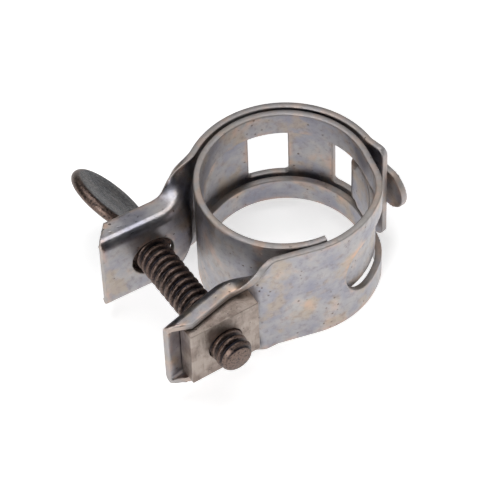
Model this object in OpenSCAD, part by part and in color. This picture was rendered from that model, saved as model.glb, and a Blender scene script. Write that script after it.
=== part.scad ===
// Two-band hose clamp with a thumb screw and a plate nut.
// +Z is the hose axis and the origin is the bore centre at mid width.

/* [Ring] */
// Radius of the hose bore
bore_r = 14.4; // [13.8:0.1:15.2]
// Thickness of the band sheet
sheet_t = 1.2; // [0.8:0.1:1.3]
// Width of both bands along the hose
band_w = 22.5; // [18:0.5:30]
// Air between the inner and the outer band
layer_gap = 0.6; // [0.4:0.1:1]
// Inner radius of the sheet folds
fold_in_r = 0.6; // [0.3:0.1:1]

/* [Outer band] */
// Angle where the free end leaves the circle
flare_a = -1.2; // [-1.5:0.1:-1]
// Outward turn of the free end
flare_turn = 14; // [8:0.5:15]
// Length of the free end
flare_l = 3.5; // [3:0.1:4]
// Angle where the ring bends out into the lug
outer_bend_a = 151.6; // [148:0.1:154]
// Turn of that bend
outer_turn = 64; // [60:0.5:68]
// Centreline radius of that bend
outer_bend_r = 3; // [2:0.1:5]
// Length of the lug web
outer_web_l = 15.2; // [12:0.1:18]
// Half height of the lug channel
outer_lug_h = 8.2; // [7.6:0.1:10]
// Depth of the lug channel
outer_lug_d = 4.65; // [3:0.05:6]
// Half height of the two windows
window_h = 6.15; // [5.8:0.05:7]
// First window, start and end angle
window_1 = [55, 80.4];
// Second window, start and end angle
window_2 = [0.2, 25.9];

/* [Inner band] */
// Angle of the square tail end
tail_a = -95.8; // [-98:0.1:-93]
// Angle where the band leaves the inner circle
joggle_a = -12; // [-14:0.1:-10]
// Half height of the long slot
slot_h = 6.3; // [6:0.1:7]
// Centre angle of the slot end beside the lug
slot_lo_a = -64.3; // [-70:0.1:-60]
// Centre angle of the slot end at the back
slot_hi_a = 108.7; // [100:0.1:115]
// Width of the tongue
tongue_w = 11.1; // [10:0.1:11.4]
// Angle where the tongue turns back on itself
hook_a = 0.4; // [0.2:0.1:1]
// Centreline radius of the hook
hook_r = 2; // [1.9:0.05:2.1]
// Width of the turned-back tab
tab_w = 8.3; // [6:0.1:10]
// Straight length of the tab, tip included
tab_l = 8.1; // [6:0.1:10]
// Length of the lug web
inner_web_l = 13.6; // [11:0.1:15]
// Half height of the lug channel
inner_lug_h = 7.7; // [7.5:0.1:9]
// Depth of the lug channel
inner_lug_d = 3.75; // [3:0.05:5]

/* [Screw and nut] */
// Thread diameter over the crests
thread_d = 6.35; // [5:0.05:6.5]
// Thread pitch
pitch = 1.5; // [1:0.05:2]
// Distance of the screw axis from the bore axis
screw_x = -23.1; // [-24:0.1:-22.5]
// Tip of the screw
tip_y = -20.9; // [-24:0.1:-19]
// Centre of the thumb disc
disc_y = 20.75; // [19:0.05:24]
// Radius of the thumb disc
disc_r = 8.1; // [6:0.1:9]
// Thickness of the thumb disc
disc_t = 2.05; // [1.5:0.05:3]
// Turn of the thumb disc about the screw
disc_turn = 49; // [0:1:90]
// Nut length across the lug
nut_x = 13.45; // [12:0.05:14]
// Nut height
nut_z = 12.4; // [11:0.1:12.8]
// Nut thickness
nut_t = 3.5; // [3:0.1:4.5]
// Radial air between thread and nut
thread_air = 0.06; // [0.02:0.01:0.1]

/* [Hidden] */
$fn = 96;
inner_c = bore_r + sheet_t / 2;
outer_c = inner_c + sheet_t + layer_gap;
overlap_c = inner_c + sheet_t + 0.15;
fold_r = fold_in_r + sheet_t;
steel = [0.72, 0.72, 0.70];
dark = [0.20, 0.17, 0.15];
brown = [0.45, 0.38, 0.30];

// seams between the segments of a band
gap = 0.04;
seam_l = 0.3;
lip = 0.02;

// ---- path walking: a pose is [x, y, heading], a segment is [radius, length or turn]
// radius 0 is straight, positive turns left and negative turns right
function step(p, s) =
    s[0] == 0
    ? [p[0] + s[1] * cos(p[2]), p[1] + s[1] * sin(p[2]), p[2]]
    : let (a = p[2] + sign(s[0]) * s[1])
      [p[0] - s[0] * (sin(p[2]) - sin(a)), p[1] + s[0] * (cos(p[2]) - cos(a)), a];

function walk(p, segs, i = 0) = i == len(segs) ? p : walk(step(p, segs[i]), segs, i + 1);

// Segments stop just short of each other, and a seam a hair thicker than the
// sheet joins them.
module piece(p, s, w) {
    if (s[0] == 0)
        translate([p[0], p[1], 0])
            rotate([0, 0, p[2]])
                translate([gap, -sheet_t / 2, -w / 2])
                    cube([s[1] - 2 * gap, sheet_t, w]);
    else
        translate([p[0] - s[0] * sin(p[2]), p[1] + s[0] * cos(p[2]), 0])
            rotate([0, 0, (s[0] > 0 ? p[2] - 90 : p[2] + 90 - s[1]) + turn_of(gap, s[0])])
                rotate_extrude(angle = s[1] - 2 * turn_of(gap, s[0]))
                    translate([abs(s[0]) - sheet_t / 2, -w / 2])
                        square([sheet_t, w]);
}

function turn_of(l, r) = l / abs(r) * 180 / PI;

module seam(p, w) {
    translate([p[0], p[1], 0])
        rotate([0, 0, p[2]])
            translate([-seam_l / 2, -sheet_t / 2 - lip, -w / 2 - lip])
                cube([seam_l, sheet_t + 2 * lip, w + 2 * lip]);
}

module strip(p, segs, w, i = 0) {
    if (i < len(segs)) {
        piece(p, segs[i], w);
        if (i > 0)
            seam(p, w);
        strip(step(p, segs[i]), segs, w, i + 1);
    }
}

// ---- shared shapes
module sector(a0, a1, r0, r1, h) {
    rotate([0, 0, a0])
        rotate_extrude(angle = a1 - a0)
            translate([r0, -h])
                square([r1 - r0, 2 * h]);
}

module radial_hole(a, r, r0, r1) {
    rotate([0, 0, a])
        translate([r0, 0, 0])
            rotate([0, 90, 0])
                cylinder(r = r, h = r1 - r0);
}

// Rounded on the x = 0 side only.
module d_shape(h, d, r) {
    translate([r, -h])
        square([d - r, 2 * h]);
    translate([0, r - h])
        square([d, 2 * (h - r)]);
    for (s = [-1, 1])
        translate([r, s * (h - r)])
            circle(r = r);
}

// Channel section, drawn with its web on x = 0 and its flanges toward +x.
module channel_2d(h, d) {
    difference() {
        d_shape(h, d, fold_r);
        translate([sheet_t, 0])
            d_shape(h - sheet_t, d, fold_in_r);
    }
}

module flange_pair(h, points) {
    for (z = [-h + lip, h - sheet_t + lip])
        translate([0, 0, z])
            linear_extrude(height = sheet_t - 2 * lip)
                polygon(points);
}

// ---- outer band
flare_r = 4;
outer_back = walk(
    [outer_c * cos(flare_a), outer_c * sin(flare_a), flare_a - 90],
    [[flare_r, flare_turn], [0, flare_l]]);
outer_start = [outer_back[0], outer_back[1], outer_back[2] + 180];
outer_full_a = 134;
outer_ring = [[0, flare_l], [-flare_r, flare_turn], [outer_c, outer_full_a - flare_a]];
outer_neck = [[outer_c, outer_bend_a - outer_full_a], [-outer_bend_r, outer_turn]];
outer_neck_p = walk(outer_start, outer_ring);
outer_web_p = walk(outer_neck_p, outer_neck);
outer_tip_p = step(outer_web_p, [0, outer_web_l]);
screw_hole_r = 4.05;
lug_back_y = outer_web_p[1] + outer_lug_d - sheet_t / 2;
end_corner_r = 1.5;

module outer_corner_cut() {
    for (s = [-1, 1])
        translate([outer_start[0], outer_start[1], s * (band_w / 2 - end_corner_r)])
            rotate([0, 0, outer_start[2] - 90])
                translate([-2.5, -0.1, 0])
                    difference() {
                        translate([0, -1, s > 0 ? 0 : -end_corner_r - 1])
                            cube([5, 1 + end_corner_r, end_corner_r + 1]);
                        translate([-1, end_corner_r, 0])
                            rotate([0, 90, 0])
                                cylinder(r = end_corner_r, h = 7);
                    }
}

module outer_channel() {
    translate([outer_tip_p[0], outer_tip_p[1], 0])
        rotate([0, 0, outer_tip_p[2] - 180])
            translate([0, -sheet_t / 2, 0])
                rotate([90, 0, 90])
                    linear_extrude(height = outer_web_l - gap)
                        channel_2d(outer_lug_h, outer_lug_d);
}

module outer_gusset() {
    flange_pair(outer_lug_h, concat(
        [for (a = [outer_full_a : 4 : outer_bend_a]) outer_c * [cos(a), sin(a)]],
        [[outer_web_p[0] - 0.5, outer_web_p[1]],
         [outer_web_p[0] - 0.5, lug_back_y - 0.05],
         [outer_web_p[0] + 2.2, lug_back_y + 1.3]]));
    for (s = [-1, 1])
        hull() {
            rotate([0, 0, outer_full_a - 2])
                translate([outer_c - sheet_t / 2 + 0.1, 0, s > 0 ? outer_lug_h - 0.6 : 0.1 - band_w / 2])
                    cube([sheet_t - 0.2, 0.6, band_w / 2 - outer_lug_h + 0.5]);
            rotate([0, 0, outer_full_a + 6])
                translate([outer_c - sheet_t / 2 + 0.15, 0, s > 0 ? outer_lug_h - 1.05 : 0.05 - outer_lug_h])
                    cube([3.2, 0.5, 1]);
        }
}

module outer_band() {
    color(steel)
        difference() {
            union() {
                strip(outer_start, outer_ring, band_w);
                strip(outer_neck_p, outer_neck, 2 * outer_lug_h);
                seam(outer_neck_p, 2 * outer_lug_h);
                seam(outer_web_p, 2 * outer_lug_h);
                outer_channel();
                outer_gusset();
            }
            for (w = [window_1, window_2])
                sector(w[0], w[1], bore_r, outer_c + 3, window_h);
            translate([screw_x, outer_web_p[1] - 3, 0])
                rotate([-90, 0, 0])
                    cylinder(r = screw_hole_r, h = 6);
            outer_corner_cut();
            // slanted free ends of the flanges
            for (s = [-1, 1])
                translate([outer_tip_p[0] + 0.2, outer_tip_p[1] + 0.4, 0])
                    rotate([0, 0, 52])
                        translate([-1, 0, s > 0 ? outer_lug_h - 1.6 : -outer_lug_h - 0.2])
                            cube([12, 6, 1.8]);
        }
}

// ---- inner band
tail_p = [inner_c * cos(tail_a), inner_c * sin(tail_a), tail_a - 90];
joggle_turn = 37.4;
joggle_l = 4;
joggle_r = inner_c - 5.22;
overlap_sweep = 55.1;
wall_l = 9.5;
inner_ring = [
    [-inner_c, 360 + tail_a - joggle_a],
    [0, joggle_l],
    [-joggle_r, joggle_turn],
    [-overlap_c, overlap_sweep],
    [0, wall_l]
];
inner_neck = [[-3, 40], [0, 0.5], [4, 67.5]];
inner_neck_p = walk(tail_p, inner_ring);
inner_web_p = walk(inner_neck_p, inner_neck);
tongue_a = tail_a - 0.7;
tongue_p = [inner_c * cos(tongue_a), inner_c * sin(tongue_a), tongue_a + 90];
tongue_sweep = hook_a - tongue_a;
tongue_z = 0.25;
hook_p = walk(tongue_p, [[inner_c, tongue_sweep]]);
hook_turn = 175;
tab_p = step(hook_p, [-hook_r, hook_turn]);

module slot_cut() {
    sector(slot_lo_a, slot_hi_a, bore_r - 1.5, outer_c + 2, slot_h - 0.1);
    for (a = [slot_lo_a, slot_hi_a])
        radial_hole(a, slot_h, bore_r - 1.5, outer_c + 2);
}

module inner_channel() {
    translate([inner_web_p[0], inner_web_p[1], 0])
        rotate([0, 0, inner_web_p[2]])
            translate([gap, -sheet_t / 2, 0])
                rotate([90, 0, 90])
                    linear_extrude(height = inner_web_l - gap)
                        channel_2d(inner_lug_h, inner_lug_d);
}

// Point beside the lug web: along the web, then out toward the nut.
function lug_at(u, v) =
    [inner_web_p[0] + u * cos(inner_web_p[2]) - v * sin(inner_web_p[2]),
     inner_web_p[1] + u * sin(inner_web_p[2]) + v * cos(inner_web_p[2])];

lug_edge = inner_lug_d - sheet_t / 2;

module inner_gusset() {
    flange_pair(inner_lug_h, [
        lug_at(0.5, 0),
        lug_at(0.5, lug_edge - 0.03),
        [inner_neck_p[0] - 3.2, inner_neck_p[1] - 0.35],
        [inner_neck_p[0] + 0.1, inner_neck_p[1] - 0.4],
        [inner_neck_p[0] + 0.2, inner_neck_p[1] + 0.3],
        [inner_neck_p[0] - 2.3, inner_neck_p[1] + 1.6],
        [inner_neck_p[0] - 3.6, inner_neck_p[1] + 2.8]]);
    for (s = [-1, 1])
        translate([inner_neck_p[0], inner_neck_p[1], 0])
            rotate([0, 0, inner_neck_p[2]])
                rotate([90, 0, 0])
                    translate([0, 0, 0.1 - sheet_t / 2])
                        linear_extrude(height = sheet_t - 0.2)
                            polygon([[-0.6, s * (inner_lug_h - 0.7)],
                                     [3.4, s * (inner_lug_h - 0.7)],
                                     [3.4, s * (inner_lug_h - 0.1)],
                                     [-0.6, s * (band_w / 2 - 0.12)]]);
}

module tongue() {
    strip(tongue_p, [[inner_c, tongue_sweep]], tongue_w);
}

module tab() {
    strip(hook_p, [[-hook_r, hook_turn], [0, tab_l - tab_w / 2]], tab_w - 0.1);
    seam(hook_p, tab_w - 0.1);
    translate([tab_p[0], tab_p[1], 0])
        rotate([0, 0, tab_p[2]])
            translate([tab_l - tab_w / 2, sheet_t / 2, 0])
                rotate([90, 0, 0])
                    cylinder(r = tab_w / 2, h = sheet_t);
}

module inner_screw_hole() {
    for (dx = [-0.7, 0])
        translate([screw_x + dx, inner_web_p[1] - 4, 0])
            rotate([-90, 0, 0])
                cylinder(r = 4.1, h = 8);
    translate([screw_x - 0.7, inner_web_p[1] - 4, -4.1])
        cube([0.7, 8, 8.2]);
}

module inner_band() {
    color(steel) {
        difference() {
            union() {
                strip(tail_p, inner_ring, band_w);
                strip(inner_neck_p, inner_neck, 2 * inner_lug_h);
                seam(inner_neck_p, 2 * inner_lug_h);
                seam(inner_web_p, 2 * inner_lug_h);
                inner_channel();
                inner_gusset();
            }
            slot_cut();
            inner_screw_hole();
            // slanted free ends of the flanges
            for (s = [-1, 1])
                translate(concat(lug_at(inner_web_l, 0.4), 0))
                    rotate([0, 0, inner_web_p[2] + 135])
                        translate([-1, -6, s > 0 ? inner_lug_h - 1.6 : -inner_lug_h - 0.2])
                            cube([12, 6, 1.8]);
        }
        translate([0, 0, tongue_z])
            tongue();
        tab();
    }
}

// ---- thumb screw
thread_r = thread_d / 2;
thread_depth = 0.62;
thread_top = 7;
collar_r = 5.2;
collar_y = 7.95;
collar_t = 1.3;
neck_r = 2.9;
turns = floor((thread_top - tip_y - 1) / pitch);

// Half profile as [radius, position along the screw].
thread_pts = concat(
    [[0, tip_y], [thread_r - 0.9, tip_y], [thread_r - thread_depth, tip_y + 0.5]],
    [for (i = [0 : turns - 1], q = [0 : 3])
        [thread_r - (q == 0 || q == 3 ? thread_depth : 0),
         tip_y + 0.7 + i * pitch + pitch * [0, 0.32, 0.62, 0.94][q]]],
    [[thread_r - thread_depth, collar_y + 0.3], [0, collar_y + 0.3]]);

module thumb_disc() {
    difference() {
        rotate_extrude() {
            translate([0, -disc_t / 2])
                square([disc_r - disc_t / 2, disc_t]);
            translate([disc_r - disc_t / 2, 0])
                intersection() {
                    circle(r = disc_t / 2);
                    translate([0, -disc_t])
                        square([disc_t, 2 * disc_t]);
                }
        }
        translate([0, 0, disc_t / 2 + 8.6])
            sphere(r = 9);
    }
}

module thumb_screw() {
    color(dark)
        translate([screw_x, 0, 0]) {
            rotate([-90, 0, 0])
                rotate_extrude()
                    polygon(thread_pts);
            translate([0, collar_y, 0])
                rotate([-90, 0, 0])
                    cylinder(r = collar_r, h = collar_t);
            translate([0, collar_y + 0.2, 0])
                rotate([-90, 0, 0])
                    cylinder(r1 = neck_r + 0.7, r2 = neck_r - 1.2, h = disc_y - disc_r - collar_y + 2.4);
            translate([0, disc_y, 0])
                rotate([0, disc_turn, 0])
                    thumb_disc();
        }
}

// ---- plate nut
nut_front_y = -16.9;

module nut() {
    color(brown)
        difference() {
            translate([screw_x - nut_x / 2, nut_front_y, -nut_z / 2])
                cube([nut_x, nut_t, nut_z]);
            translate([screw_x, nut_front_y - 1, 0])
                rotate([-90, 0, 0])
                    cylinder(r = thread_r + thread_air, h = nut_t + 2);
        }
}

outer_band();
inner_band();
thumb_screw();
nut();
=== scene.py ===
"""Looks of the hose clamp: two bent bands, a thumb screw and a plate nut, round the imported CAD."""

import math

import bmesh
import bpy
import numpy as np
from mathutils import Matrix, Vector
from mathutils.geometry import delaunay_2d_cdt


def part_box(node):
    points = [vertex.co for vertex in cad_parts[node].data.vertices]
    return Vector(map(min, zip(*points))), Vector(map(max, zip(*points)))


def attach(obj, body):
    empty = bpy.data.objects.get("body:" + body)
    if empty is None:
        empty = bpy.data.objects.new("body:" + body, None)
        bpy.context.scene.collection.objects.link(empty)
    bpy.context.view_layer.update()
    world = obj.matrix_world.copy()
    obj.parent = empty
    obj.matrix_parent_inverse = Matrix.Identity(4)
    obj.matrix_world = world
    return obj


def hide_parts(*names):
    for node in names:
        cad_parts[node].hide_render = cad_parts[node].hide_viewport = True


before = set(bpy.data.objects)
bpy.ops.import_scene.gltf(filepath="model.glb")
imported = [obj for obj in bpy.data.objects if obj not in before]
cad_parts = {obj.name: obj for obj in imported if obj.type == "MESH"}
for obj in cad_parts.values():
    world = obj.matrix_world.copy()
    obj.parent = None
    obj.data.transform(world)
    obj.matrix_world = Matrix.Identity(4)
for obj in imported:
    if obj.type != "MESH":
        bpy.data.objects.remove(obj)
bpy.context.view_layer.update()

# ---------------------------------------------------------------- sizes, in millimetres
MM = 0.001
SHEET = 1.2  # thickness of both bands
HALF_BAND = 11.25  # half the width of both bands
INNER_C = 15.0  # centreline radius of the inner band
OUTER_C = 16.8  # centreline radius of the outer band
OVERLAP_C = 16.35  # centreline radius of the inner band where it laps over its own tail
FOLD_R = 1.2  # centreline radius of the flange folds
RIM_R = 0.2  # rounding of the sheet's cut edges
SCREW_X = -23.1  # x of the screw's axis, which runs along Y
THREAD_R = 3.17  # radius over the crests
PITCH = 1.5

RIM_STEP = 0.32  # spacing of the sheet's points along a cut edge
ROW_STEP = 0.5  # spacing across its width
RIM_CLEAR = 0.22  # no inner point lies closer than this to a cut edge
EDGE_WEAR_AND_HIGHLIGHT_WIDTH = 1.1  # how far the edge value reaches into the sheet: wear on the cut edge, and copper that is partly a painted highlight
SHARP_ANGLE = 50  # degrees, above which an edge is shaded sharp
ZERO = Vector((0, 0, 0))


def smooth(a, b, x):
    """0 below a, 1 above b, and an even curve between."""
    t = min(max((x - a) / (b - a), 0.0), 1.0)
    return t * t * (3 - 2 * t)


def smooth_object(name, verts, faces, edge_value):
    """A closed, smooth-shaded object whose points carry the edge value the materials read: wear, and
    on the bands also copper that is partly a painted highlight along the cut edges.
    """
    mesh = bpy.data.meshes.new(name)
    mesh.from_pydata(verts, [], faces)
    mesh.update()
    edge = mesh.attributes.new("edge", "FLOAT", "POINT")
    edge.data.foreach_set("value", np.array(edge_value, np.float32))
    obj = bpy.data.objects.new(name, mesh)
    bpy.context.scene.collection.objects.link(obj)
    fix = bmesh.new()
    fix.from_mesh(mesh)
    bmesh.ops.recalc_face_normals(fix, faces=fix.faces)
    fix.to_mesh(mesh)
    fix.free()
    for p in mesh.polygons:
        p.use_smooth = True
    mesh.set_sharp_from_angle(angle=math.radians(SHARP_ANGLE))
    return obj


# ---------------------------------------------------------------- bent sheet
class Path:
    """A plan curve of straights (radius 0) and arcs (left turn positive), walked by its length."""

    def __init__(self, x, y, heading, segments):
        self.parts, s, h = [], 0.0, math.radians(heading)
        for radius, amount in segments:
            length = amount if radius == 0 else abs(radius) * math.radians(amount)
            self.parts.append((s, length, x, y, h, radius))
            x, y, h = self.advance(x, y, h, radius, length)
            s += length
        self.length = s
        self.end = (x, y, math.degrees(h))
        self.starts = [p[0] for p in self.parts] + [s]

    @staticmethod
    def advance(x, y, h, radius, d):
        """The place and heading a length d further along a straight or an arc."""
        if radius == 0:
            return x + d * math.cos(h), y + d * math.sin(h), h
        h1 = h + d / radius
        x1 = x - radius * (math.sin(h) - math.sin(h1))
        return x1, y + radius * (math.cos(h) - math.cos(h1)), h1

    def pose(self, s):
        """The place and heading, in radians, at length s."""
        part = self.parts[0]
        for candidate in self.parts:
            if s >= candidate[0]:
                part = candidate
        s0, _, x, y, h, radius = part
        return self.advance(x, y, h, radius, s - s0)

    def stations(self):
        """Lengths at which the sheet gets a row of points: closer together in tight bends."""
        out = []
        for s0, length, _, _, _, radius in self.parts:
            step = 0.6 if radius == 0 else min(0.5, 0.14 * abs(radius))
            n = max(1, round(length / step))
            out += [s0 + length * i / n for i in range(n)]
        return out + [self.length]


def hermite(p, q, heading_p, heading_q, t):
    """The point at t, from 0 to 1, of a smooth curve from p to q with headings in radians."""
    reach = math.dist(p, q) * 1.1  # how far the headings hold at the two ends
    at_p, out_p = (1 + 2 * t) * (1 - t) ** 2, t * (1 - t) ** 2 * reach
    at_q, out_q = t * t * (3 - 2 * t), t * t * (t - 1) * reach
    along_p = math.cos(heading_p), math.sin(heading_p)
    along_q = math.cos(heading_q), math.sin(heading_q)
    return [at_p * p[i] + out_p * along_p[i] + at_q * q[i] + out_q * along_q[i] for i in (0, 1)]


class Band:
    """Maps a flat strip (length s, width w) onto its path, with both edges folded up into flanges.

    Over the lengths in neck the flanges fold up, and the plan direction that they point in goes
    from turn_from to turn_to, in degrees. Over the lengths in ease the middle of the sheet keeps
    the tight bends of the path and the folds take a gentler line, as drawn sheet does.
    """

    EASE_INSIDE, EASE_OUTSIDE = 4.5, 0.3  # the gentler line takes over across the fold line
    LOOSE_FOLD = 1.6  # extra radius where a fold starts, as a share of FOLD_R

    def __init__(self, path, fold_line, neck, ease, turn_from, turn_to):
        self.path, self.fold_line = path, fold_line
        self.fold_start, self.fold_end = neck
        self.ease_start, self.ease_end = ease
        self.turn_from, self.turn_to = math.radians(turn_from), math.radians(turn_to)
        self.ease_ends = path.pose(ease[0]), path.pose(ease[1])

    def plan(self, s, w):
        """Where the flat part of the sheet lies in plan."""
        x, y, _ = self.path.pose(s)
        if not self.ease_start < s < self.ease_end:
            return x, y
        p, q = self.ease_ends
        t = (s - self.ease_start) / (self.ease_end - self.ease_start)
        easy = hermite(p[:2], q[:2], p[2], q[2], t)
        inside, outside = self.fold_line - self.EASE_INSIDE, self.fold_line + self.EASE_OUTSIDE
        share = smooth(inside, outside, abs(w))
        return x + (easy[0] - x) * share, y + (easy[1] - y) * share

    def point(self, s, w):
        """The place of a point of the flat strip, at the middle of the sheet's thickness."""
        x, y = self.plan(s, w)
        t = smooth(self.fold_start, self.fold_end, s)
        fold = t * math.pi / 2
        beyond = abs(w) - self.fold_line
        if beyond <= 0 or fold < 1e-4:
            return Vector((x, y, w))
        radius = FOLD_R * (1 + self.LOOSE_FOLD * (1 - t))
        bend = min(beyond / radius, fold)
        rest = beyond - bend * radius
        out = radius * (1 - math.cos(bend)) + rest * math.sin(fold)
        z = self.fold_line + radius * math.sin(bend) + rest * math.cos(fold)
        a = self.turn_from + (self.turn_to - self.turn_from) * t
        return Vector((x + out * math.cos(a), y + out * math.sin(a), math.copysign(z, w)))

    def normal(self, s, w):
        """The sheet's direction across its thickness."""
        d = 0.05
        along = self.point(s + d, w) - self.point(s - d, w)
        across = self.point(s, w + d) - self.point(s, w - d)
        return along.cross(across).normalized()


def inside_loop(loop, x, y):
    """Even-odd test of many points against one closed loop."""
    hit = np.zeros(len(x), bool)
    for (x0, y0), (x1, y1) in zip(loop, loop[1:] + loop[:1]):
        if y0 == y1:
            continue
        crosses = (y0 > y) != (y1 > y)
        hit ^= crosses & (x < (x1 - x0) * (y - y0) / (y1 - y0) + x0)
    return hit


def resample(corners, step=RIM_STEP):
    """Points no more than a step apart round a closed loop of corners."""
    out = []
    for a, b in zip(corners, corners[1:] + corners[:1]):
        n = max(1, math.ceil(math.dist(a, b) / step))
        out += [(a[0] + (b[0] - a[0]) * i / n, a[1] + (b[1] - a[1]) * i / n) for i in range(n)]
    return out


def arc(cx, cy, r, a0, a1, n):
    """Points of an arc in the flat strip, ends included."""
    angles = [math.radians(a0 + (a1 - a0) * i / n) for i in range(n + 1)]
    return [(cx + r * math.cos(a), cy + r * math.sin(a)) for a in angles]


def rounded_slot(s0, s1, half, r):
    """A slot from s0 to s1 with corners of radius r."""
    loop = arc(s1 - r, half - r, r, 90, 0, 8) + arc(s1 - r, r - half, r, 0, -90, 8)
    loop += arc(s0 + r, r - half, r, -90, -180, 8) + arc(s0 + r, half - r, r, 180, 90, 8)
    return loop


def nearest(points, others):
    """Distance from each point to the closest of the others."""
    out = np.empty(len(points))
    for i in range(0, len(points), 500):
        d = points[i : i + 500, None, :] - others[None, :, :]
        out[i : i + 500] = np.sqrt((d**2).sum(2)).min(1)
    return out


def inside_sheet(loops, x, y):
    """Inside the outline and outside every hole."""
    keep = inside_loop(loops[0], x, y)
    for loop in loops[1:]:
        keep &= ~inside_loop(loop, x, y)
    return keep


def flat_sheet(band, outline, holes):
    """Points and triangles of the flat sheet, and the points of its cut edges."""
    loops = [resample(outline)] + [resample(h) for h in holes]
    rim = np.array([p for loop in loops for p in loop])
    rows = set(np.round(np.arange(-HALF_BAND, HALF_BAND + 0.01, ROW_STEP), 3))
    for k in range(9):  # rows that follow the fold closely
        rows |= {s * round(band.fold_line + FOLD_R * math.pi / 2 * k / 8, 3) for s in (-1, 1)}
    grid = np.array([(s, w) for s in band.path.stations() for w in sorted(rows)])
    grid = grid[inside_sheet(loops, grid[:, 0], grid[:, 1])]
    grid = grid[nearest(grid, rim) > RIM_CLEAR]
    edges, base = [], 0
    for loop in loops:
        n = len(loop)
        edges += [(base + i, base + (i + 1) % n) for i in range(n)]
        base += n
    flat = [Vector(p) for p in np.vstack([rim, grid])]
    verts, _, tris, *_ = delaunay_2d_cdt(flat, edges, [], 0, 1e-5)
    uv = np.array(verts)
    mid = np.array([uv[list(t)].mean(0) for t in tris])
    tris = [t for t, k in zip(tris, inside_sheet(loops, mid[:, 0], mid[:, 1])) if k]
    used = sorted({i for t in tris for i in t})
    index = {v: i for i, v in enumerate(used)}
    return uv[used], [tuple(index[i] for i in t) for t in tris], rim


def next_on_rim(tris):
    """For each point of a cut edge, the next one round it."""
    directed = {e for a, b, c in tris for e in ((a, b), (b, c), (c, a))}
    return {a: b for a, b in directed if (b, a) not in directed}


def band_mesh(name, band, outline, holes):
    """A closed, thick, folded sheet from the flat outline and its holes, with rounded cut edges."""
    uv, tris, rim = flat_sheet(band, outline, holes)
    n = len(uv)
    points = [band.point(s, w) for s, w in uv]
    normals = [band.normal(s, w) for s, w in uv]
    ahead = next_on_rim(tris)
    behind = {b: a for a, b in ahead.items()}
    out = {}
    for v in ahead:
        along = points[ahead[v]] - points[behind[v]]
        out[v] = along.cross(normals[v]).normalized()

    verts = []
    for side in (1, -1):
        for v, (p, across) in enumerate(zip(points, normals)):
            verts.append((p + across * (side * SHEET / 2) - out.get(v, ZERO) * RIM_R) * MM)
    faces = [tuple(t) for t in tris] + [(a + n, c + n, b + n) for a, b, c in tris]
    rim_start = {}
    for v in ahead:
        rim_start[v] = len(verts)
        for side in (1, -1):
            centre = points[v] + normals[v] * (side * (SHEET / 2 - RIM_R)) - out[v] * RIM_R
            # three points of each rounded edge, in order from the upper face to the lower
            for turn in (30, 60, 90) if side == 1 else (90, 60, 30):
                t = math.radians(turn)
                spoke = normals[v] * (side * math.cos(t)) + out[v] * math.sin(t)
                verts.append((centre + spoke * RIM_R) * MM)
    for a, b in ahead.items():
        left = [a] + [rim_start[a] + i for i in range(6)] + [a + n]
        right = [b] + [rim_start[b] + i for i in range(6)] + [b + n]
        faces += [(right[i], left[i], left[i + 1], right[i + 1]) for i in range(7)]
    # how near each point lies to a cut edge: wear, and copper that is partly a painted highlight
    # along the edges
    near = np.clip(nearest(uv, rim) / EDGE_WEAR_AND_HIGHLIGHT_WIDTH, 0, 1)
    edge_value = np.concatenate([np.tile(1 - near, 2), np.ones(len(verts) - 2 * n)])
    return smooth_object(name, verts, faces, edge_value)


def soften(obj, width, segments, angle):
    """Rounds the sharp edges and shades the rest smooth."""
    for p in obj.data.polygons:
        p.use_smooth = True
    obj.data.set_sharp_from_angle(angle=math.radians(angle))
    bevel = obj.modifiers.new("edge_round", "BEVEL")
    bevel.width = width * MM
    bevel.segments = segments
    bevel.limit_method = "ANGLE"
    bevel.angle_limit = math.radians(angle)
    bevel.use_clamp_overlap = True
    bevel.harden_normals = True


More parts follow.
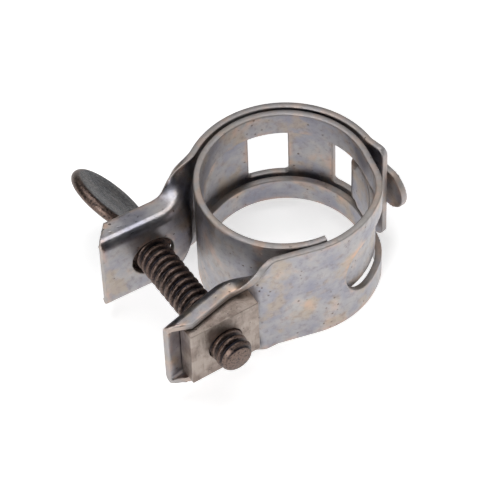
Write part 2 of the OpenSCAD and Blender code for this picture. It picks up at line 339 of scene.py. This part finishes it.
# ---------------------------------------------------------------- materials
class Shader:
    """A small helper for building one node material."""

    def __init__(self, name):
        self.material = bpy.data.materials.new(name)
        self.material.use_nodes = True
        self.tree = self.material.node_tree
        self.surface = self.tree.nodes["Principled BSDF"]
        coords = self.add("ShaderNodeTexCoord").outputs["Object"]
        scale = self.add("ShaderNodeVectorMath", operation="SCALE")
        self.tree.links.new(coords, scale.inputs[0])
        scale.inputs["Scale"].default_value = 1 / MM
        self.place = scale.outputs[0]

    def add(self, kind, **settings):
        node = self.tree.nodes.new(kind)
        for key, value in settings.items():
            setattr(node, key, value)
        return node

    def put(self, value, socket):
        if isinstance(value, bpy.types.NodeSocket):
            self.tree.links.new(value, socket)
        else:
            socket.default_value = value

    def noise(self, scale, detail=3.0, rough=0.55, stretch=None):
        node = self.add("ShaderNodeTexNoise")
        place = self.place
        if stretch:
            mapping = self.add("ShaderNodeMapping")
            self.put(place, mapping.inputs["Vector"])
            mapping.inputs["Scale"].default_value = stretch
            place = mapping.outputs[0]
        self.put(place, node.inputs["Vector"])
        node.inputs["Scale"].default_value = scale
        node.inputs["Detail"].default_value = detail
        node.inputs["Roughness"].default_value = rough
        return node.outputs[0]

    def cells(self, scale):
        node = self.add("ShaderNodeTexVoronoi")
        self.put(self.place, node.inputs["Vector"])
        node.inputs["Scale"].default_value = scale
        return node.outputs["Distance"]

    def remap(self, value, a, b, to_a=0.0, to_b=1.0):
        node = self.add("ShaderNodeMapRange", interpolation_type="SMOOTHSTEP")
        sockets = ("Value", "From Min", "From Max", "To Min", "To Max")
        for socket, v in zip(sockets, (value, a, b, to_a, to_b)):
            self.put(v, node.inputs[socket])
        return node.outputs[0]

    def math(self, operation, a, b):
        node = self.add("ShaderNodeMath", operation=operation, use_clamp=operation != "SUBTRACT")
        self.put(a, node.inputs[0])
        self.put(b, node.inputs[1])
        return node.outputs[0]

    def mix(self, factor, a, b):
        node = self.add("ShaderNodeMix", data_type="RGBA")
        self.put(factor, node.inputs["Factor"])
        self.put((*a, 1) if isinstance(a, tuple) else a, node.inputs["A"])
        self.put((*b, 1) if isinstance(b, tuple) else b, node.inputs["B"])
        return node.outputs["Result"]

    def attribute(self, name):
        return self.add("ShaderNodeAttribute", attribute_name=name).outputs["Fac"]

    def bump(self, height, depth, after=None):
        node = self.add("ShaderNodeBump")
        node.inputs["Distance"].default_value = depth * MM
        self.put(height, node.inputs["Height"])
        if after:
            self.put(after, node.inputs["Normal"])
        return node.outputs[0]

    def spots(self, cells, low, high, patches, patch_low, patch_high):
        """Small round marks, gathered in patches; cells and patches are scales per millimetre."""
        mark = self.remap(self.cells(cells), low, high, 1, 0)
        patch = self.remap(self.noise(patches, 2), patch_low, patch_high)
        return self.math("MULTIPLY", mark, patch)

    def finish(self, colour, rough, normal, metal=1.0):
        self.put(colour, self.surface.inputs["Base Color"])
        self.put(rough, self.surface.inputs["Roughness"])
        self.put(normal, self.surface.inputs["Normal"])
        self.surface.inputs["Metallic"].default_value = metal
        return self.material


def band_steel():
    """Rolled steel: soft cloudy patches, copper tints in patches and along the edges, where the
    copper is partly a painted highlight of the lit edge faces, pits and short scratches.
    """
    m = Shader("band_steel")
    cloud = m.noise(0.16, 4)
    mottle = m.noise(0.9, 5, 0.65)
    edge = m.attribute("edge")
    # copper in random cloudy patches, plus copper along the cut edges that is partly a painted
    # highlight of the lit edge faces
    copper_patches_and_edge_highlight = m.math("ADD", m.remap(cloud, 0.50, 0.75, 0, 0.5), m.math("MULTIPLY", edge, 0.55))
    copper_patches_and_edge_highlight = m.math("MULTIPLY", copper_patches_and_edge_highlight, m.remap(m.noise(0.35, 3), 0.42, 0.62))
    rim = m.remap(edge, 0.82, 0.98)
    colour = m.mix(m.remap(cloud, 0.3, 0.7), (0.29, 0.29, 0.34), (0.47, 0.45, 0.44))
    colour = m.mix(m.remap(m.noise(0.22, 3), 0.50, 0.66, 0, 0.7), colour, (0.45, 0.37, 0.29))
    colour = m.mix(m.remap(mottle, 0.45, 0.75, 0, 0.55), colour, (0.21, 0.18, 0.19))
    colour = m.mix(copper_patches_and_edge_highlight, colour, (0.68, 0.44, 0.32))
    pits = m.spots(0.85, 0.10, 0.24, 0.33, 0.50, 0.60)
    specks = m.spots(2.0, 0.06, 0.18, 0.5, 0.58, 0.66)
    colour = m.mix(m.math("MULTIPLY", pits, 0.75), colour, (0.16, 0.12, 0.10))
    colour = m.mix(m.math("MULTIPLY", specks, 0.6), colour, (0.25, 0.20, 0.17))
    colour = m.mix(m.math("MULTIPLY", rim, 0.6), colour, (0.45, 0.42, 0.40))
    scratch = m.noise(1.1, 6, 0.7, (1.0, 1.0, 5.0))
    rough = m.remap(cloud, 0.35, 0.65, 0.26, 0.36)
    rough = m.math("ADD", rough, m.remap(scratch, 0.3, 0.7, 0.0, 0.12))
    rough = m.math("ADD", rough, m.math("MULTIPLY", rim, 0.20))
    normal = m.bump(mottle, 0.02)
    normal = m.bump(scratch, 0.015, normal)
    normal = m.bump(m.math("SUBTRACT", 1.0, m.math("MAXIMUM", pits, specks)), 0.06, normal)
    return m.finish(colour, rough, normal)


def screw_steel():
    """Blackened forged steel, worn brown on the crests and rims."""
    m = Shader("screw_steel")
    patch = m.noise(0.45, 5, 0.6)
    fine = m.noise(2.4, 5, 0.65)
    edge_value = m.math("MULTIPLY", m.attribute("edge"), m.remap(fine, 0.30, 0.60))
    colour = m.mix(m.remap(patch, 0.4, 0.65), (0.018, 0.018, 0.024), (0.050, 0.043, 0.042))
    colour = m.mix(m.math("MULTIPLY", edge_value, 0.75), colour, (0.27, 0.19, 0.155))
    rough = m.remap(fine, 0.3, 0.7, 0.32, 0.54)
    normal = m.bump(patch, 0.10)
    normal = m.bump(fine, 0.06, normal)
    return m.finish(colour, rough, normal)


def nut_steel():
    """Tarnished brown plate with a vertical brush."""
    m = Shader("nut_steel")
    patch = m.noise(0.3, 4, 0.6)
    brush = m.noise(1.6, 6, 0.7, (1.0, 1.0, 0.18))
    colour = m.mix(m.remap(patch, 0.35, 0.65), (0.24, 0.19, 0.165), (0.40, 0.34, 0.30))
    colour = m.mix(m.remap(brush, 0.52, 0.75, 0, 0.6), colour, (0.14, 0.10, 0.09))
    pits = m.spots(1.4, 0.08, 0.22, 0.7, 0.52, 0.6)
    colour = m.mix(m.math("MULTIPLY", pits, 0.7), colour, (0.08, 0.06, 0.05))
    rough = m.remap(brush, 0.3, 0.7, 0.30, 0.52)
    normal = m.bump(brush, 0.08)
    normal = m.bump(m.math("SUBTRACT", 1.0, pits), 0.10, normal)
    return m.finish(colour, rough, normal)


BAND_STEEL, SCREW_STEEL, NUT_STEEL = band_steel(), screw_steel(), nut_steel()


def dress(obj, material, body, node=None):
    """Gives a piece its material and its body, and hides the CAD node it stands for."""
    obj.data.materials.clear()
    obj.data.materials.append(material)
    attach(obj, body)
    if node:
        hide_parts(node)
    return obj


# ---------------------------------------------------------------- the two bands
def on_circle(r, a):
    return r * math.cos(math.radians(a)), r * math.sin(math.radians(a))


def make_outer_band():
    """From the flared free end, over the ring's +Y half, to the lug at the screw's shoulder."""
    flare_a, flare_r, flare_turn, flare_l = -1.2, 4.0, 14, 3.5
    bend_a, bend_r, bend_turn, web_l = 151.6, 3.0, 64, 15.2
    flare = Path(*on_circle(OUTER_C, flare_a), flare_a - 90, [(flare_r, flare_turn), (0, flare_l)])
    x, y, heading = flare.end
    path = Path(x, y, heading + 180, [
        (0, flare_l), (-flare_r, flare_turn), (OUTER_C, bend_a - flare_a),
        (-bend_r, bend_turn), (0, web_l),
    ])

    def at(angle):
        return path.starts[2] + OUTER_C * math.radians(angle - flare_a)

    web = path.starts[4]
    fold_line, fold_from, fold_to = 6.4, 128, path.end[2] - 90
    neck, ease = (at(124), web + 1.5), (at(126), web + 3.5)
    band = Band(path, fold_line, neck, ease, fold_from, fold_to)
    end, corner, slant, half, tip_half = path.length, 1.5, 2.9, 11.2, 7.6
    outline = arc(corner, corner - half, corner, 180, 270, 6)
    outline += [(end - slant, -half), (end, -tip_half), (end, tip_half), (end - slant, half)]
    outline += arc(corner, half - corner, corner, 90, 180, 6)
    hole = web + (path.pose(web)[0] - SCREW_X)
    window_half, window_corner, hole_r = 6.15, 0.8, 4.05
    windows = [(55, 80.4), (0.2, 25.9)]  # polar angles
    holes = [rounded_slot(at(a), at(b), window_half, window_corner) for a, b in windows]
    holes += [arc(hole, 0, hole_r, 0, 345, 23)]
    return band_mesh("outer_band_sheet", band, outline, holes)


def make_inner_band():
    """From the tab, by the hook and the tongue, more than once round the ring to the nut's lug."""
    tail_a, hook_a, hook_r, hook_turn, tab_l = -95.8, 0.4, 2.0, 175, 8.1
    ring_turn, overlap_turn, wall_l, web_l = 276.2, 55.1, 9.5, 13.6
    joggle_l, joggle_r, joggle_turn = 4.0, 9.78, 37.4
    lug_bends = [(-3, 40), (0, 0.5), (4, 67.5)]
    tongue_turn = hook_a - tail_a
    x, y = on_circle(INNER_C, tail_a)
    tongue = Path(x, y, tail_a + 90, [(INNER_C, tongue_turn), (-hook_r, hook_turn), (0, tab_l)])
    x, y, heading = tongue.end
    path = Path(x, y, heading + 180, [
        (0, tab_l), (hook_r, hook_turn), (-INNER_C, tongue_turn), (-INNER_C, ring_turn),
        (0, joggle_l), (-joggle_r, joggle_turn), (-OVERLAP_C, overlap_turn), (0, wall_l),
        *lug_bends, (0, web_l),
    ])
    hook, tail, overlap = path.starts[2], path.starts[3], path.starts[6]
    wall_end, web = path.starts[8], path.starts[11]
    fold_line, fold_from = 5.9, 262
    fold_to = path.end[2] + 450  # 90 and a whole turn, so that it turns the short way
    neck, ease = (wall_end - 2.5, web + 1), (wall_end - 2, web + 2)
    band = Band(path, fold_line, neck, ease, fold_from, fold_to)
    end, slant, half, tip_half, tab_half = path.length, 3.4, 9.7, 7.2, 4.15
    low, high = -5.33, 5.83  # the tongue's edges
    outline = arc(tab_half, 0, tab_half, 90, 270, 18)
    outline += [(hook + 0.2, -tab_half), (hook + 1.2, low), (tail, low), (tail, -HALF_BAND)]
    outline += [(wall_end - 1.5, -HALF_BAND), (web + 1, -half)]
    outline += [(end - slant, -half), (end, -tip_half), (end, tip_half), (end - slant, half)]
    outline += [(web + 1, half), (wall_end - 1.5, HALF_BAND), (tail, HALF_BAND)]
    outline += [(tail, high), (hook + 1.2, high), (hook + 0.2, tab_half)]
    # polar angles, clockwise from the tail
    ring_from, slot_from, overlap_from, slot_to = 264.2, 133.7, -49.4, -85.6
    slot_start = tail + INNER_C * math.radians(ring_from - slot_from)
    slot_end = overlap + OVERLAP_C * math.radians(overlap_from - slot_to)
    lug_lean, hole_shift = 13, 0.35
    hole = path.pose(web)[0] - SCREW_X + hole_shift
    hole = web + hole / math.cos(math.radians(lug_lean))
    slot_half, hole_half, hole_reach = 6.3, 4.1, 4.45
    flat = 0.05  # each slot end keeps a short straight between its two round corners
    holes = [
        rounded_slot(slot_start, slot_end, slot_half, slot_half - flat),
        rounded_slot(hole - hole_reach, hole + hole_reach, hole_half, hole_half - flat),
    ]
    return band_mesh("inner_band_sheet", band, outline, holes)


dress(make_outer_band(), BAND_STEEL, "outer_band", "outer_band")
dress(make_inner_band(), BAND_STEEL, "inner_band", "inner_band")


# ---------------------------------------------------------------- thumb screw
def lathe_mesh(name, radius, wear, stations, around=72):
    """A closed surface round the screw axis; its radius and wear may change with the angle."""
    verts, edge = [], []
    for y in stations:
        for i in range(around):
            turn = i / around
            r = radius(y, turn)
            a = turn * 2 * math.pi
            verts.append(Vector((SCREW_X + r * math.sin(a), y, r * math.cos(a))) * MM)
            edge.append(wear(y, turn))
    faces = []
    for j in range(len(stations) - 1):
        for i in range(around):
            k = (i + 1) % around
            a, b = j * around, (j + 1) * around
            faces.append((a + i, a + k, b + k, b + i))
    faces.append(tuple(reversed(range(around))))
    faces.append(tuple(range((len(stations) - 1) * around, len(stations) * around)))
    return smooth_object(name, verts, faces, edge)


TIP_Y = -20.9
THREAD_TOP = 7.6
THREAD_DEPTH = 0.62
TIP_DROP, TIP_RISE, TIP_LENGTH = 0.85, 0.9, 1.3  # the rounding of the screw's tip
STATION_STEP = 0.075  # spacing of the thread's rings


def thread_height(y, turn):
    """0 in the root and 1 on the rounded crest of the helix."""
    phase = ((y - TIP_Y) / PITCH - turn) % 1.0
    return smooth(0.08, 0.36, phase) * (1 - smooth(0.62, 0.92, phase))


def thread_radius(y, turn):
    """Follows the helix, and is held down by the rounding at the tip."""
    r = THREAD_R - THREAD_DEPTH * (1 - thread_height(y, turn))
    along = max(0.0, min(1.0, (y - TIP_Y) / TIP_LENGTH))
    return min(r, THREAD_R - TIP_DROP + TIP_RISE * math.sqrt(along))


def thread_wear(y, turn):
    """Worn on the crests and over the flat of the tip, which is the first ring."""
    return max(thread_height(y, turn), float(y < TIP_Y + STATION_STEP / 2))


def make_thread():
    stations = list(np.arange(TIP_Y, THREAD_TOP, STATION_STEP)) + [THREAD_TOP]
    return lathe_mesh("screw_thread", thread_radius, thread_wear, stations)


DISC_Y = 20.75
DISC_R = 8.1
DISC_T = 2.05
DISC_TURN = 49.0  # degrees about the screw's axis


def revolve(points, around=96):
    """A closed bmesh from [radius, height] points about local Z."""
    shape = bmesh.new()
    rings = []
    for r, z in points:
        if r < 1e-6:
            rings.append([shape.verts.new((0, 0, z))])
        else:
            angles = [2 * math.pi * i / around for i in range(around)]
            rings.append([shape.verts.new((r * math.cos(a), r * math.sin(a), z)) for a in angles])
    for low, high in zip(rings, rings[1:]):
        for i in range(around):
            k = (i + 1) % around
            quad = [low[i % len(low)], low[k % len(low)]]
            quad += [high[k % len(high)], high[i % len(high)]]
            shape.faces.new(list(dict.fromkeys(quad)))
    bmesh.ops.recalc_face_normals(shape, faces=shape.faces)
    return shape


def settle(obj):
    """Turns an object's modifiers into its own mesh."""
    solved = obj.evaluated_get(bpy.context.evaluated_depsgraph_get())
    mesh = bpy.data.meshes.new_from_object(solved)
    obj.modifiers.clear()
    obj.data = mesh
    mesh.name = obj.name
    return mesh


def disc_points():
    """Half profile of the thumb disc, dished on its upper face."""
    rim, dish = DISC_T / 2, 0.45
    out = [(0, -rim * 0.92), (DISC_R * 0.5, -rim)]
    for a in np.linspace(0, math.pi, 13):
        out.append((DISC_R - rim + rim * math.sin(a), -rim * math.cos(a)))
    for f in (0.85, 0.7, 0.55, 0.4, 0.25):
        out.append((DISC_R * f, rim - dish * (1 - smooth(0.25, 0.85, f))))
    out.append((0, rim - dish))
    return out


def neck_points():
    """Half profile of the shoulder and of the neck that runs up into the disc."""
    top = DISC_Y - DISC_R + 2.6  # this far inside the disc's rim
    return [(0, 7.2), (3.0, 7.2), (3.0, 7.95), (5.1, 8.0), (5.2, 8.2), (5.2, 9.0), (5.0, 9.25),
            (3.6, 9.4), (3.1, 10.2), (2.7, 11.4), (2.3, 12.8), (1.9, 14.0), (1.2, top), (0, top)]


def make_head():
    """Disc, neck and shoulder, welded and eased into one forged shape."""
    disc = revolve(disc_points())
    lean = Matrix.Rotation(math.radians(DISC_TURN), 4, "Y")
    disc.transform(Matrix.Translation((SCREW_X, DISC_Y, 0)) @ lean)
    neck = revolve(neck_points())
    neck.transform(Matrix.Translation((SCREW_X, 0, 0)) @ Matrix.Rotation(math.radians(-90), 4, "X"))
    mesh = bpy.data.meshes.new("screw_head")
    both = bmesh.new()
    for part in (disc, neck):
        temp = bpy.data.meshes.new("part")
        part.to_mesh(temp)
        both.from_mesh(temp)
        part.free()
    both.transform(Matrix.Scale(MM, 4))
    both.to_mesh(mesh)
    both.free()
    obj = bpy.data.objects.new("screw_head", mesh)
    bpy.context.scene.collection.objects.link(obj)
    voxel = obj.modifiers.new("weld", "REMESH")
    voxel.mode = "VOXEL"
    voxel.voxel_size = 0.2 * MM
    voxel.use_smooth_shade = True
    ease = obj.modifiers.new("ease", "SMOOTH")
    ease.factor = 0.5
    ease.iterations = 6
    shaped = settle(obj)
    turn = math.radians(DISC_TURN)
    normal = Vector((math.sin(turn), 0, math.cos(turn)))
    centre = Vector((SCREW_X, DISC_Y, 0))
    edge_value = []  # grows towards the disc's rim
    for v in shaped.vertices:
        p = v.co / MM - centre
        flat = p - normal * p.dot(normal)
        edge_value.append(smooth(DISC_R - 1.3, DISC_R - 0.3, flat.length))
    values = shaped.attributes.new("edge", "FLOAT", "POINT")
    values.data.foreach_set("value", np.array(edge_value, np.float32))
    return obj


dress(make_thread(), SCREW_STEEL, "thumb_screw", "thumb_screw")
dress(make_head(), SCREW_STEEL, "thumb_screw")


# ---------------------------------------------------------------- plate nut
def make_nut():
    """A plate with a round bore for the screw."""
    low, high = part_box("nut")
    size, centre = high - low, (high + low) / 2
    shape = bmesh.new()
    bmesh.ops.create_cube(shape, size=1.0)
    shape.transform(Matrix.Translation(centre) @ Matrix.Diagonal((*size, 1)))
    mesh = bpy.data.meshes.new("nut_plate")
    shape.to_mesh(mesh)
    shape.free()
    obj = bpy.data.objects.new("nut_plate", mesh)
    bpy.context.scene.collection.objects.link(obj)
    bore_r, reach = THREAD_R + 0.07, 5  # reach is past both faces of the plate
    bore = revolve([(0, -reach), (bore_r, -reach), (bore_r, reach), (0, reach)], 64)
    along_screw = Matrix.Rotation(math.radians(90), 4, "X")
    bore.transform(Matrix.Translation((SCREW_X, centre.y / MM, 0)) @ along_screw)
    bore.transform(Matrix.Scale(MM, 4))
    tool_mesh = bpy.data.meshes.new("bore")
    bore.to_mesh(tool_mesh)
    bore.free()
    tool = bpy.data.objects.new("bore", tool_mesh)
    bpy.context.scene.collection.objects.link(tool)
    cut = obj.modifiers.new("bore", "BOOLEAN")
    cut.operation = "DIFFERENCE"
    cut.solver = "EXACT"
    cut.object = tool
    settle(obj)
    bpy.data.objects.remove(tool)
    soften(obj, width=0.16, segments=2, angle=40)
    return obj


dress(make_nut(), NUT_STEEL, "nut", "nut")


# ---------------------------------------------------------------- stage, light and camera, in metres
def make_stage():
    """A plain white floor just under the clamp, with a little light of its own to keep it white."""
    lowest = min(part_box(n)[0].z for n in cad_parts)
    mesh = bpy.data.meshes.new("floor")
    r, z, glow = 1.2, lowest - 0.0001, 0.60
    mesh.from_pydata([(-r, -r, z), (r, -r, z), (r, r, z), (-r, r, z)], [], [(0, 1, 2, 3)])
    floor = bpy.data.objects.new("floor", mesh)
    bpy.context.scene.collection.objects.link(floor)
    m = Shader("floor_paper")
    grain = m.noise(0.05, 2)
    colour = m.mix(m.remap(grain, 0.3, 0.7), (0.80, 0.80, 0.80), (0.84, 0.84, 0.84))
    m.surface.inputs["Emission Color"].default_value = (1, 1, 1, 1)
    m.surface.inputs["Emission Strength"].default_value = glow
    mesh.materials.append(m.finish(colour, 0.9, m.bump(grain, 0.01), 0.0))


def area_light(name, place, size, power):
    """A soft white panel that faces the middle of the ring."""
    data = bpy.data.lights.new(name, "AREA")
    data.shape = "RECTANGLE"
    data.size, data.size_y = size
    data.energy = power
    lamp = bpy.data.objects.new(name, data)
    lamp.location = place
    lamp.rotation_mode = "QUATERNION"
    lamp.rotation_quaternion = (-Vector(place)).to_track_quat("-Z", "Y")
    bpy.context.scene.collection.objects.link(lamp)


def make_lights():
    """A room that brightens from the horizon upward, and three panels."""
    world = bpy.data.worlds.new("studio")
    world.use_nodes = True
    tree = world.node_tree
    coords = tree.nodes.new("ShaderNodeTexCoord")
    split = tree.nodes.new("ShaderNodeSeparateXYZ")
    ramp = tree.nodes.new("ShaderNodeMapRange")
    tree.links.new(coords.outputs["Generated"], split.inputs[0])
    tree.links.new(split.outputs["Z"], ramp.inputs["Value"])
    tree.links.new(ramp.outputs[0], tree.nodes["Background"].inputs["Strength"])
    ramp.inputs["From Min"].default_value, ramp.inputs["From Max"].default_value = 0.0, 0.8
    ramp.inputs["To Min"].default_value, ramp.inputs["To Max"].default_value = 0.02, 0.32
    bpy.context.scene.world = world
    area_light("overhead", (0.05, 0.12, 0.55), (0.5, 0.35), 1.7)
    area_light("key", (-0.42, -0.30, 0.30), (0.22, 0.22), 1.9)
    area_light("side", (0.45, -0.30, 0.20), (0.20, 0.30), 0.5)
    bpy.context.scene.view_settings.view_transform = "Standard"


def make_camera():
    """A long lens from in front, up and to the left, rolled a little."""
    azimuth, tilt, roll = math.radians(-31.3), math.radians(50.66), math.radians(-2.2)
    target, distance = Vector((-8.2, -1.3, -1.3)) * MM, 517.0 * MM
    level = math.cos(tilt)
    back = Vector((math.sin(azimuth) * level, -math.cos(azimuth) * level, math.sin(tilt)))
    side = Vector((math.cos(azimuth), math.sin(azimuth), 0))
    up = back.cross(side)
    right = side * math.cos(roll) + up * math.sin(roll)
    up = back.cross(right)
    data = bpy.data.cameras.new("camera")
    data.sensor_width = 36
    data.lens = 216
    data.clip_start, data.clip_end = 0.01, 10
    camera = bpy.data.objects.new("camera", data)
    rows = [(right[i], up[i], back[i], target[i] + back[i] * distance) for i in range(3)]
    camera.matrix_world = Matrix((*rows, (0, 0, 0, 1)))
    bpy.context.scene.collection.objects.link(camera)
    bpy.context.scene.camera = camera


make_stage()
make_lights()
make_camera()
